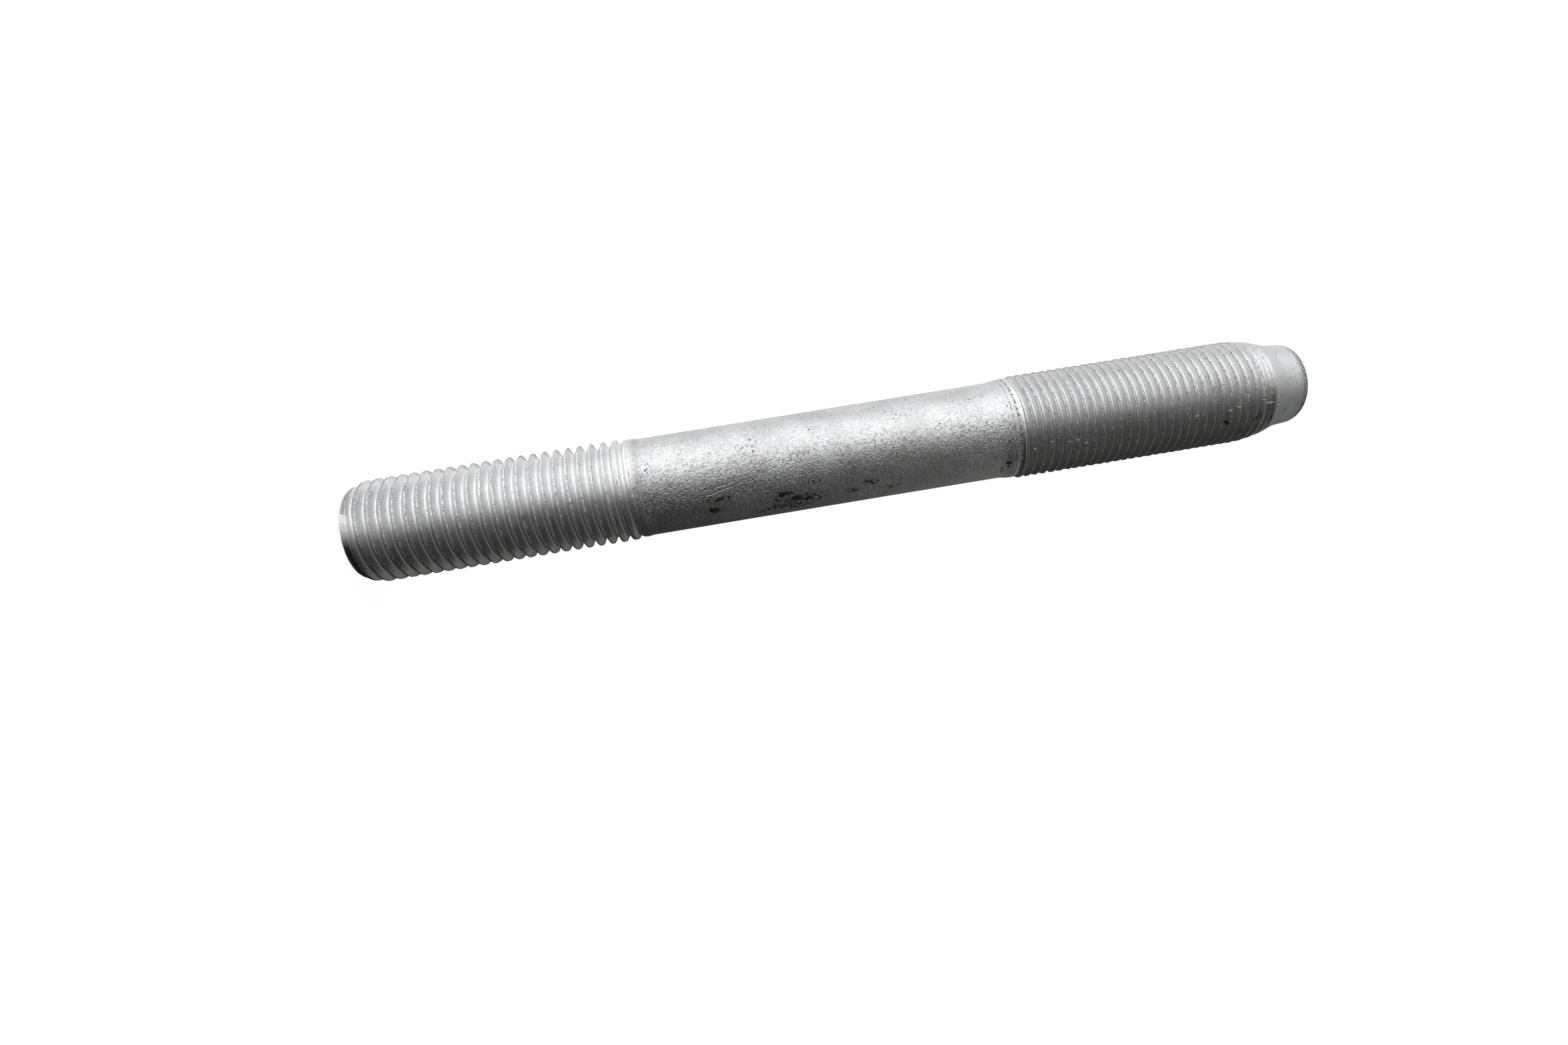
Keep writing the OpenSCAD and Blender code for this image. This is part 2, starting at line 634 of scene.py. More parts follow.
@dataclass(frozen=True)
class ZincFlakeCoat:
    """Silver-grey zinc flake coat: satin, crinkled on the shank and speckled on crests, with painted
    glints on crest flecks and knocks and painted shade in the shank's creases.
    """

    shank_low_z: float
    shank_high_z: float
    dog_z: float
    rim_z: float
    shank_r: float
    patches: tuple[Oval, ...]
    dents: tuple[Oval, ...]
    rings: tuple[Oval, ...]
    scratches: tuple[Scratch, ...]
    lines: tuple[ScoreLine, ...]

    bright: Colour = (0.645, 0.66, 0.675, 1.0)
    dull: Colour = (0.54, 0.545, 0.55, 1.0)
    coarse_rolled: Colour = (0.78, 0.79, 0.80, 1.0)
    fine_rolled: Colour = (0.62, 0.625, 0.63, 1.0)
    # dark tone of scale, pits and marks, and also the painted shade in the shank's creases
    scale_and_crease_shade_tone: Colour = (0.03, 0.029, 0.028, 1.0)
    # near-white tone of seam flecks and raised knocks: a painted glint
    burr_and_glint_tone: Colour = (0.95, 0.95, 0.93, 1.0)
    dull_seam: Colour = (0.34, 0.335, 0.33, 1.0)

    cloud: Speckle = Speckle(7.0 * MM, 4.0, 0.3, 0.7, roughness=0.6)
    dust: Speckle = Speckle(0.35 * MM, 3.0, 0.52, 0.8, roughness=0.7)
    grain: Speckle = Speckle(0.12 * MM, 1.0)
    flecks: Speckle = Speckle(0.22 * MM, 2.0, roughness=0.7)
    mottle: Speckle = Speckle(0.5 * MM, 4.0, 0.50, 0.68, roughness=0.75)
    calm: Speckle = Speckle(14.0 * MM, 1.0, 0.30, 0.62)
    seam_rag: Speckle = Speckle(0.5 * MM)
    seam_burrs: Speckle = Speckle(1.3 * MM, 1.0, 0.66, 0.74)
    pit: Speckle = Speckle(0.5 * MM, 2.0, 0.685, 0.735, roughness=0.6, distortion=1.0)
    pit_cloud: Speckle = Speckle(4.0 * MM)
    ragged_scale: Speckle = Speckle(0.8 * MM, 5.0, 0.66, 0.71, roughness=0.70, distortion=0.6)
    wrinkle: Speckle = Speckle(0.40 * MM, 3.0, roughness=0.62, distortion=0.8)
    swell: Speckle = Speckle(1.7 * MM)
    crease_stray: Speckle = Speckle(0.5 * MM)
    crease_breaks: Speckle = Speckle(0.7 * MM, 3.0, 0.475, 0.555, roughness=0.65)
    handled: Speckle = Speckle(6.0 * MM, 2.0, 0.35, 0.55)
    sway: Speckle = Speckle(2.2 * MM, 3.0)
    press: Speckle = Speckle(0.9 * MM, 2.0, 0.36, 0.56)
    line_breaks: Speckle = Speckle(0.6 * MM, 3.0, 0.42, 0.56)

    zone_edge: float = 1.0 * MM
    seam_half_width: float = 0.16 * MM
    seam_rag_reach: float = 0.24 * MM
    seam_burr_reach: float = 0.14 * MM
    dent_far: float = 0.50 * MM
    dent_near: float = 0.24 * MM
    # band where the light turns to shade, seen from the portrait camera: creases are deepest there
    # and their painted shade darkest
    shade_band_angle: float = math.radians(-80)
    shade_band_near: float = math.radians(10)
    shade_band_far: float = math.radians(36)
    crease_size: float = 0.60 * MM
    crease_sway: float = 1.1 * MM
    crinkle_height: float = 0.145 * MM
    grain_height: float = 0.010 * MM
    mottle_height: float = 0.012 * MM
    seam_height: float = 0.10 * MM
    pit_depth: float = 0.03 * MM
    mark_depth: float = 0.07 * MM
    dent_rise: float = 0.20 * MM

    def material(self) -> bpy.types.Material:
        """Builds the coat's material.

        Returns:
            The material.
        """
        material, g = new_material("zinc_flake_coat")
        CoatNodes(self, g).finish()
        return material


class CoatNodes:
    """The coat in nodes, at a point of the surface. Each mask is about 0 to 1."""

    def __init__(self, coat: ZincFlakeCoat, g: Graph) -> None:
        """Works out where the point is and what lies there.

        Args:
            coat: the finish.
            g: the material's graph.
        """
        self.coat, self.g = coat, g
        self.place = g.put("ShaderNodeTexCoord", output="Object")
        axes = g.put("ShaderNodeSeparateXYZ", inputs={0: self.place})
        self.angle = g.math("ARCTAN2", axes.other("Y"), axes.other("X"))
        self.height = height = axes.other("Z")
        low, high, edge = coat.shank_low_z, coat.shank_high_z, coat.zone_edge
        self.on_shank = g.ease(height, low - edge, low + edge / 2) * g.ease(height, high + edge, high)
        self.on_dog = g.ease(height, coat.dog_z, coat.dog_z + edge)
        self.on_rim = g.ease(height, coat.rim_z - 0.6 * MM, coat.rim_z + 0.4 * MM)
        self.on_nut = g.ease(height, high - edge, high + 4.0 * edge)
        self.threads = (1.0 - self.on_shank) * (1.0 - self.on_dog)
        self.shoulder = g.ease((height - low).size(), 1.9 * MM, 0.5 * MM)
        self.cloud, self.mottle = self._mask(coat.cloud), self._mask(coat.mottle)
        self.dust, self.flecks = self._speckle(coat.dust), self._speckle(coat.flecks)
        gap = g.put("ShaderNodeAttribute", {"attribute_name": "crest_gap"}, output="Fac")
        self.seam, self.knocked = self._seam(gap), self._knocked(gap)
        self.crinkle, self.crease = self._crinkle()
        self.pits, self.scale = self._pits(), self._scale()
        self.marks, self.lines = self._marks(), self._lines()
        self.dark = self._dark()

    def finish(self) -> None:
        """Puts the surface and the output into the graph."""
        relief = {"Strength": 1.0, "Distance": 1.0, "Height": self._relief()}
        looks = {
            "Base Color": self._tone(),
            "Roughness": self._roughness(),
            "Metallic": 1.0 - self.on_dog * 0.15,
            "Normal": self.g.put("ShaderNodeBump", inputs=relief),
        }
        surface = self.g.put("ShaderNodeBsdfPrincipled", inputs=looks)
        self.g.put("ShaderNodeOutputMaterial", inputs={"Surface": surface})

    def _speckle(self, layer: Speckle) -> Wire:
        """A noise at the point."""
        return self.g.speckle(self.place, layer)

    def _mask(self, layer: Speckle) -> Wire:
        """A noise's mask at the point."""
        return self.g.mask(self.place, layer)

    def _seam(self, gap: Wire) -> Wire:
        """Finds the rolled seam along the crests, with its ragged edge and its burrs.

        Args:
            gap: distance to the crest's middle.

        Returns:
            The mask.
        """
        coat = self.coat
        ragged = gap + (self._speckle(coat.seam_rag) - 0.5) * coat.seam_rag_reach
        ragged = ragged - self._mask(coat.seam_burrs) * coat.seam_burr_reach
        return self.g.ease(ragged, coat.seam_half_width * 1.3, coat.seam_half_width * 0.8)

    def _knocked(self, gap: Wire) -> Wire:
        """Finds the burrs that knocks raised beside the seams and on the lip, which _tone paints near
        white as painted glints.

        Args:
            gap: distance to the crest's middle.

        Returns:
            The mask.
        """
        g, coat = self.g, self.coat
        near = g.ease(self._nearness(coat.dents) + (self.dust - 0.5), 0.15, 0.50)
        on_lip = g.ease(self.height, coat.dog_z - 2.6 * MM, coat.dog_z - 2.2 * MM)
        return near * g.ease(gap, coat.dent_far, coat.dent_near).most(on_lip)

    def _dark(self) -> Wire:
        """Joins the dark marks: scale, pits, scratches and lines, and the painted shade of the
        shank's creases.

        Returns:
            The share of the dark tone.
        """
        flecks = self.g.ease(self.flecks + self.on_nut * 0.01, 0.45, 0.38)
        marks = (
            self.seam * flecks * (1.0 - self.knocked),
            self.pits * (1.0 - self.threads * 0.4),
            self.scale,
            self.on_rim * self.g.ease(self.dust, 0.60, 0.42) * 0.75,
            self.marks * 0.35,
            self.lines * 0.85,
            # painted shade: the shank's creases darkened in colour, most in the shade band
            self.crease * self.on_shank * 0.62,
        )
        return reduce(Wire.most, marks)

    def _tone(self) -> Wire:
        """Mixes the coat's colour.

        Returns:
            The colour.
        """
        g, coat, mottle = self.g, self.coat, self.mottle
        # painted glints: the seam's brighter flecks get a near-white tone
        seam_glints = self.seam * g.ease(self.flecks - self.on_nut * 0.04, 0.46, 0.56)
        tone = g.blend(self.cloud, coat.dull, coat.bright)
        for share, colour in (
            (self.threads * 0.9, g.blend(self.on_nut, coat.coarse_rolled, coat.fine_rolled)),
            (g.step(self.dust, coat.dust) * (0.35 + self.threads * 0.30), coat.dull),
            (mottle * self.threads * (0.22 + self.on_nut * 0.16), coat.dull_seam),
            (self.seam * self.on_nut * 0.4, coat.dull_seam),
            (self.shoulder * (0.25 + mottle * 0.35), coat.dull_seam),
            # painted glints: near-white tone on seam flecks and raised knocks
            (seam_glints.most(self.knocked), coat.burr_and_glint_tone),
            # dark scale and marks, with the painted shade of the shank's creases
            (self.dark * 0.93, coat.scale_and_crease_shade_tone),
        ):
            tone = g.blend(share, tone, colour)
        return tone

    def _roughness(self) -> Wire:
        """Works out the roughness.

        Returns:
            The roughness, least on the shank and most on the dog point.
        """
        rough = 0.30 - self.on_shank * 0.07 + (self.cloud - 0.5) * 0.05 + (self.dust - 0.5) * 0.10
        rough = rough + self.dark * 0.15 + self.shoulder * 0.10 + self.on_dog * 0.30
        return rough + self.threads * 0.05 - self.knocked * 0.10

    def _relief(self) -> Wire:
        """Works out the coat's fine form.

        Returns:
            Its height in metres.
        """
        coat, threads = self.coat, self.threads
        calm = self.on_shank * (0.72 + 0.28 * self._mask(coat.calm)) + threads * 0.06
        relief = self.crinkle * coat.crinkle_height * calm
        relief = relief + self._speckle(coat.grain) * coat.grain_height * (1.0 + threads * 1.5)
        relief = relief + self.mottle * threads * coat.mottle_height
        relief = relief + self.flecks * self.seam.most(self.on_rim * 0.8) * coat.seam_height
        relief = relief - self.pits.most(self.scale * 0.6) * coat.pit_depth
        relief = relief - self.marks.most(self.lines) * coat.mark_depth
        return relief + self.knocked * coat.dent_rise

    def _crinkle(self) -> tuple[Wire, Wire]:
        """Wrinkles the cured coat, deepest round the band at -80 degrees where the light turns to
        shade as the portrait camera sees it; there _dark also paints the creases darkest, as painted
        shade.

        Returns:
            The wrinkles' height, about 0 to 1, and the mask of their sharp creases.
        """
        g, coat = self.g, self.coat
        drawn = g.vector("MULTIPLY", self.place, (1.0, 1.0, 0.75))
        stray = g.speckle(self.place, coat.crease_stray, "Color")
        wandered = g.vector("ADD", drawn, g.vector("MULTIPLY", stray, (coat.crease_sway,) * 3))
        edge = g.put(
            "ShaderNodeTexVoronoi",
            {"feature": "DISTANCE_TO_EDGE"},
            {"Vector": wandered, "Scale": 1.0 / coat.crease_size, "Randomness": 1.0},
            output="Distance",
        )
        off = (self.angle - coat.shade_band_angle).size()
        shade_band = g.ease(off, coat.shade_band_far, coat.shade_band_near)
        shade_band = shade_band * (0.6 + 0.4 * self._mask(coat.handled))
        crease = g.ease(edge, 0.12, 0.04) * self._mask(coat.crease_breaks) * (0.28 + 0.72 * shade_band)
        fine, swell = g.speckle(drawn, coat.wrinkle), g.speckle(drawn, coat.swell)
        return fine + swell * 0.60 - crease * 0.36, crease

    def _pits(self) -> Wire:
        """Small dark pits and ticks, more of them in some places."""
        small = self._speckle(self.coat.pit) + (self._speckle(self.coat.pit_cloud) - 0.5) * 0.35
        return self.g.step(small, self.coat.pit)

    def _scale(self) -> Wire:
        """Shows ragged dark scale inside the named patches.

        Returns:
            The mask.
        """
        reach = self._nearness(self.coat.patches)
        ragged = self._speckle(self.coat.ragged_scale) + reach * 0.22
        return self.g.step(ragged, self.coat.ragged_scale) * self.g.ease(reach, 0.0, 0.1)

    def _nearness(self, places: Sequence[Oval]) -> Wire:
        """Works out how near the point is to the middle of one of several ovals.

        Args:
            places: the ovals.

        Returns:
            1 in an oval's middle, falling to 0 on its edge.
        """
        found = []
        for oval in places:
            across = (self.angle - oval.angle) * (self.coat.shank_r / oval.half_across)
            along = (self.height - oval.height) / oval.half_along
            found.append((1.0 - (across * across + along * along)).clamped())
        return reduce(Wire.most, found)

    def _marks(self) -> Wire:
        """Draws scratches and oval rings on the unrolled surface with an uneven hand.

        Returns:
            The mask.
        """
        coat, girth = self.coat, self.coat.shank_r / MM
        scratch_edge, scratch_core, ring_edge, ring_core = 0.14, 0.03, 0.20, 0.04
        sway = self._speckle(coat.sway) - 0.5
        across = self.angle * girth + sway * 0.9
        along = self.height / MM + sway * 0.5
        found = []
        for scratch in coat.scratches:
            from_a, from_h = scratch.start[0] * girth, scratch.start[1] / MM
            run_a, run_h = scratch.stop[0] * girth - from_a, scratch.stop[1] / MM - from_h
            da, dh = across - from_a, along - from_h
            share = ((da * run_a + dh * run_h) / (run_a * run_a + run_h * run_h)).clamped()
            off = hypotenuse(da - share * run_a, dh - share * run_h)
            found.append(self.g.ease(off, scratch_edge, scratch_core))
        for ring in coat.rings:
            da = (across - ring.angle * girth) * (MM / ring.half_across)
            dh = (along - ring.height / MM) * (MM / ring.half_along)
            off = (hypotenuse(da, dh) - 1.0).size()
            found.append(self.g.ease(off, ring_edge, ring_core) * 0.8)
        return reduce(Wire.most, found) * self._mask(coat.press)

    def _lines(self) -> Wire:
        """Draws fine broken lines round the stud, which climb with the thread.

        Returns:
            The mask.
        """
        found = []
        for line in self.coat.lines:
            off = (self.height - line.height - self.angle * (line.climb / math.tau)).size()
            found.append(self.g.ease(off, line.half_width * 1.4, line.half_width * 0.4))
        return reduce(Wire.most, found) * self._mask(self.coat.line_breaks)


# ---- stud


@dataclass
class Skin:
    """A closed skin that is turned ring by ring."""

    mesh: bmesh.types.BMesh = field(default_factory=bmesh.new)

    def edge_ring(self, height: float) -> Ring:
        """Finds an open edge ring.

        Args:
            height: the ring's height.

        Returns:
            Its vertices in order of angle.
        """
        found = {
            vert
            for edge in self.mesh.edges
            if edge.is_boundary
            for vert in edge.verts
            if abs(vert.co.z - height) < 0.001 * MM
        }
        return sorted(found, key=lambda v: math.atan2(v.co.y, v.co.x) % math.tau)

    def ring(self, like: Ring, height: float, radius_at: Callable[[float], float]) -> Ring:
        """Adds a ring of vertices at the same angles as another ring.

        Args:
            like: the ring whose angles are followed.
            height: the new ring's height.
            radius_at: gives the radius at an angle.

        Returns:
            The new ring.
        """
        made = []
        for vert in like:
            angle = math.atan2(vert.co.y, vert.co.x)
            radius = radius_at(angle)
            place = (radius * math.cos(angle), radius * math.sin(angle), height)
            made.append(self.mesh.verts.new(place))
        return made

    def bridge(self, low: Ring, high: Ring) -> None:
        """Joins two rings of the same count with quads that face outwards."""
        for i, j in zip(range(len(low)), [*range(1, len(low)), 0]):
            self.mesh.faces.new((low[i], low[j], high[j], high[i]))

    def close(self, ring: Ring, height: float, upwards: bool) -> None:
        """Closes an end with a flat face.

        Args:
            ring: the ring round the face.
            height: the face's height.
            upwards: whether the face looks up.
        """
        outer = ring
        for radius in (5.5 * MM, 2.0 * MM):
            inner = self.ring(ring, height, lambda angle, r=radius: r)
            self.bridge(*((outer, inner) if upwards else (inner, outer)))
            outer = inner
        middle = self.mesh.verts.new((0.0, 0.0, height))
        for vert, following in zip(outer, outer[1:] + outer[:1]):
            corners = (vert, following, middle) if upwards else (following, vert, middle)
            self.mesh.faces.new(corners)


@dataclass
class WheelStud:
    """The whole stud, in one closed mesh that stands for the CAD node.

    Outer sizes are the CAD model's own, and heights are measured from the hub end. The nut
    pitch is 1 per cent longer than the CAD model's, and both grooves are shallower.
    """

    node: str = "stud"
    segments: int = 150
    hub_crest_r: float = 10.9 * MM
    hub_face_r: float = 9.1 * MM
    hub_pitch: float = 2.5 * MM
    hub_groove_z: float = 0.47 * MM
    nut_pitch: float = 1.834 * MM
    nut_groove_z: float = 141.9 * MM
    shank_r: float = 10.4 * MM
    nut_lip_r: float = 10.25 * MM
    shank_z: float = 59.2 * MM
    shank_length: float = 80.1 * MM
    nut_length: float = 55.7 * MM
    neck_length: float = 3.8 * MM
    dog_r: float = 8.9 * MM
    dog_taper: float = math.radians(5.0)
    tip_round: float = 2.6 * MM
    waviness: float = 0.05 * MM
    rim_wear: float = 0.10 * MM
    rim_depth: float = 2.1 * MM
    shank_step: float = 1.25 * MM
    sharp_angle: float = math.radians(38)
    height: float = field(init=False)
    nut_crest_r: float = field(init=False)
    coat: ZincFlakeCoat = field(init=False)

    def __post_init__(self) -> None:
        """Takes the overall sizes from the frame and settles the coat's places."""
        low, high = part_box(self.node)
        self.height, self.nut_crest_r = high.z, high.x
        self.coat = self._coat()

    @property
    def nut_z(self) -> float:
        """Height at which the nut thread starts."""
        return self.shank_z + self.shank_length

    @property
    def dog_z(self) -> float:
        """Height at which the nut thread ends."""
        return self.nut_z + self.nut_length

    def _coat(self) -> ZincFlakeCoat:
        """Settles the coat's places. Angles are in degrees and sizes in millimetres.

        Returns:
            The coat.
        """
        dent_half_across, dent_half_along = 0.50, 1.10
        # raised knocks, whose near-white tone is a painted glint
        dents = (
            (-60, 143.3), (-65, 146.9), (-62, 150.7), (-62.5, 152.6), (-57, 154.4),
            (-68, 178.3), (-68, 185.6), (-70, 187.2), (-73, 192.1), (-68, 194.0),
            (-150, 31.7), (-150, 34.2), (-88, 46.8), (-126, 4.3), (-134, 6.9),
            (30, 40.6), (118, 158.0), (121, 163.5), (64, 171.0),
        )
        patches = (
            (-43, 92, 2.6, 8.5), (-33, 90, 1.8, 9), (-54, 90, 1.6, 4), (-43, 104, 1.0, 3.4),
            (-65, 96.6, 0.8, 2.2), (-52, 108, 1.0, 2.4), (-48, 75, 1.3, 3.2), (-62, 76, 1.4, 4.4),
            (-39, 113, 1.0, 2.6), (-47, 137.6, 3.2, 1.1), (-36, 136.6, 1.6, 1.0),
            (-52, 184.5, 1.0, 1.1), (-52, 191, 1.1, 1.7), (75, 84, 3.0, 9), (160, 122, 2.4, 7),
        )
        rings = ((-128, 69.5, 1.1, 0.7), (-95, 198.9, 0.30, 0.9), (92, 120, 0.8, 1.2))
        scratches = (
            (-68, 73.9, -78, 81.6), (-74, 74.8, -81, 80.0), (-77, 83.0, -95, 92.5), (40, 101, 52, 108)
        )
        lines = ((139.3, 0.05, 1.2), (140.6, 0.14, 1.5), (142.2, 0.07, 1.8))
        return ZincFlakeCoat(
            shank_low_z=self.shank_z + 1.0 * MM,
            shank_high_z=self.nut_z,
            dog_z=self.dog_z,
            rim_z=self.height - self.rim_depth,
            shank_r=self.shank_r,
            patches=ovals(patches),
            dents=ovals((*place, dent_half_across, dent_half_along) for place in dents),
            rings=ovals(rings),
            scratches=tuple(
                Scratch((math.radians(from_a), from_z * MM), (math.radians(to_a), to_z * MM))
                for from_a, from_z, to_a, to_z in scratches
            ),
            lines=tuple(ScoreLine(*(size * MM for size in line)) for line in lines),
        )

    def hub_thread(self) -> RolledThread:
        """The coarse thread that stays in the hub."""
        return RolledThread(
            name="hub_thread",
            side=ShankSide.ABOVE,
            crest_radius=self.hub_crest_r,
            pitch=self.hub_pitch,
            lead_height=0.0,
            lead_radius=self.hub_face_r,
            lead_length=4.7 * MM,
            shank_radius=self.shank_r,
            shank_height=self.shank_z,
            shoulder_length=4.0 * MM,
            runout=6.0 * MM,
            last_depth=0.5,
            groove_height=self.hub_groove_z + self.hub_pitch / 4,
            seam_margin=0.3 * MM,
            seam_start=-2.0 * MM,
            fade=0.8 * MM,
            seed=1.37,
            nick_angle=math.radians(200),
            segments=self.segments,
        )

    def nut_thread(self) -> RolledThread:
        """The fine thread for the wheel nut."""
        return RolledThread(
            name="nut_thread",
            side=ShankSide.BELOW,
            crest_radius=self.nut_crest_r,
            pitch=self.nut_pitch,
            lead_height=self.dog_z,
            lead_radius=self.nut_lip_r,
            lead_length=6.2 * MM,
            shank_radius=self.shank_r,
            shank_height=self.nut_z,
            shoulder_length=4.5 * MM,
            runout=2.0 * MM,
            last_depth=0.2,
            groove_height=self.nut_groove_z + self.nut_pitch / 4,
            seam_margin=2.3 * MM,
            seam_start=2.6 * MM,
            fade=0.6 * MM,
            seed=4.11,
            nick_angle=math.radians(-64),
            segments=self.segments,
        )

    def build(self) -> bpy.types.Object:
        """Makes the stud and puts it in place of the CAD node.

        Returns:
            The finished piece.
        """
        coat = self.coat.material()
        skin = Skin()
        gaps: list[float] = []
        hub, nut = self.hub_thread(), self.nut_thread()
        for thread in (hub, nut):
            tube = thread.mesh(coat)
            gaps.extend(item.value for item in tube.attributes["crest_gap"].data)
            tube.attributes.remove(tube.attributes["crest_gap"])
            skin.mesh.from_mesh(tube)
            log.info("%s: %d faces", thread.name, len(tube.polygons))
            bpy.data.meshes.remove(tube)
        heights = (hub.low_z, hub.high_z, nut.low_z, nut.high_z)
        face_ring, shoulder_ring, nut_ring, lip_ring = (skin.edge_ring(z) for z in heights)
        skin.close(face_ring, 0.0, upwards=False)
        self._join_shank(skin, shoulder_ring, nut_ring)
        self._turn_dog(skin, lip_ring)
        bmesh.ops.recalc_face_normals(skin.mesh, faces=skin.mesh.faces)

        mesh = bpy.data.meshes.new("wheel_stud")
        skin.mesh.to_mesh(mesh)
        skin.mesh.free()
        mesh.materials.clear()
        mesh.materials.append(coat)
        gaps.extend([hub.pitch] * (len(mesh.vertices) - len(gaps)))
        mesh.attributes.new("crest_gap", "FLOAT", "POINT").data.foreach_set("value", gaps)
        mesh.shade_smooth()
        mesh.set_sharp_from_angle(angle=self.sharp_angle)
        piece = put_in_scene("wheel_stud", mesh)
        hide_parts(self.node)
        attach(piece, "root")
        mesh.calc_loop_triangles()
        log.info("%s: %d triangles", piece.name, len(mesh.loop_triangles))
        return piece

    def _unevenness(self, angle: float, height: float, lump: float) -> float:
        """Reads smooth noise on the surface.

        Args:
            angle: angle round the axis.
            height: height.
            lump: size of a lump.

        Returns:
            A number from 0 to 1.
        """
        place = Vector((self.shank_r * math.cos(angle), self.shank_r * math.sin(angle), height))
        return min(1.0, max(0.0, 0.5 + 0.5 * noise.noise(place / lump)))

    def _join_shank(self, skin: Skin, low: Ring, high: Ring) -> None:
        """Turns the plain shank between the two threads, slightly uneven as forged bar is.

        Args:
            skin: the skin.
            low: the hub thread's upper edge ring.
            high: the nut thread's lower edge ring.
        """
        broad_lump, small_lump = 9.0 * MM, 2.6 * MM
        start, stop = low[0].co.z, high[0].co.z
        count = round((stop - start) / self.shank_step)
        below = low
        for number in range(1, count):
            height = start + (stop - start) * number / count
            ends = min(1.0, 4.0 * min(number, count - number) / count)

            def radius_at(angle: float, z: float = height, share: float = ends) -> float:
                """Radius of the uneven shank at an angle."""
                broad = self._unevenness(angle, z, broad_lump)
                small = self._unevenness(angle, z, small_lump)
                return self.shank_r - share * self.waviness * (0.6 * broad + 0.4 * small)

            ring = skin.ring(below, height, radius_at)
            skin.bridge(below, ring)
            below = ring
        skin.bridge(below, high)

    def _turn_dog(self, skin: Skin, lip: Ring) -> None:
        """Turns the neck, the tapered dog point and its rounded, worn tip.

        Args:
            skin: the skin.
            lip: the nut thread's upper edge ring.
        """
        wear_lump = 0.8 * MM
        below = lip
        for radius, height in self._dog_outline():
            worn = self.rim_wear if self.coat.rim_z < height < self.height else 0.0

            def radius_at(
                angle: float, r: float = radius, z: float = height, wear: float = worn
            ) -> float:
                """Radius of the worn dog point at an angle."""
                return r - wear * self._unevenness(angle, z, wear_lump)

            ring = skin.ring(below, height, radius_at)
            skin.bridge(below, ring)
            below = ring
        skin.close(below, self.height, upwards=True)

    def _dog_outline(self) -> list[tuple[float, float]]:
        """Works out the dog point's outline.

        Returns:
            Radius and height of each ring, from just above the lip to the tip's face.
        """
        neck_z = self.dog_z + self.neck_length
        slope = math.tan(self.dog_taper)
        arc_z = self.height - self.tip_round
        tangent_z = arc_z + self.tip_round * math.sin(self.dog_taper)
        tangent_r = self.dog_r - (tangent_z - neck_z) * slope
        arc_r = tangent_r - self.tip_round * math.cos(self.dog_taper)
        outline = []
        neck_steps, dog_steps, tip_steps = 5, 5, 9
        for i in range(1, neck_steps + 1):
            share = i / neck_steps
            radius = self.nut_lip_r + (self.dog_r - self.nut_lip_r) * share
            outline.append((radius, self.dog_z + self.neck_length * share))
        for i in range(1, dog_steps):
            height = neck_z + (tangent_z - neck_z) * i / dog_steps
            outline.append((self.dog_r - (height - neck_z) * slope, height))
        for i in range(tip_steps + 1):
            turn = self.dog_taper + (math.pi / 2 - self.dog_taper) * i / tip_steps
            across, up = self.tip_round * math.cos(turn), self.tip_round * math.sin(turn)
            outline.append((arc_r + across, arc_z + up))
        return outline


# ---- studio


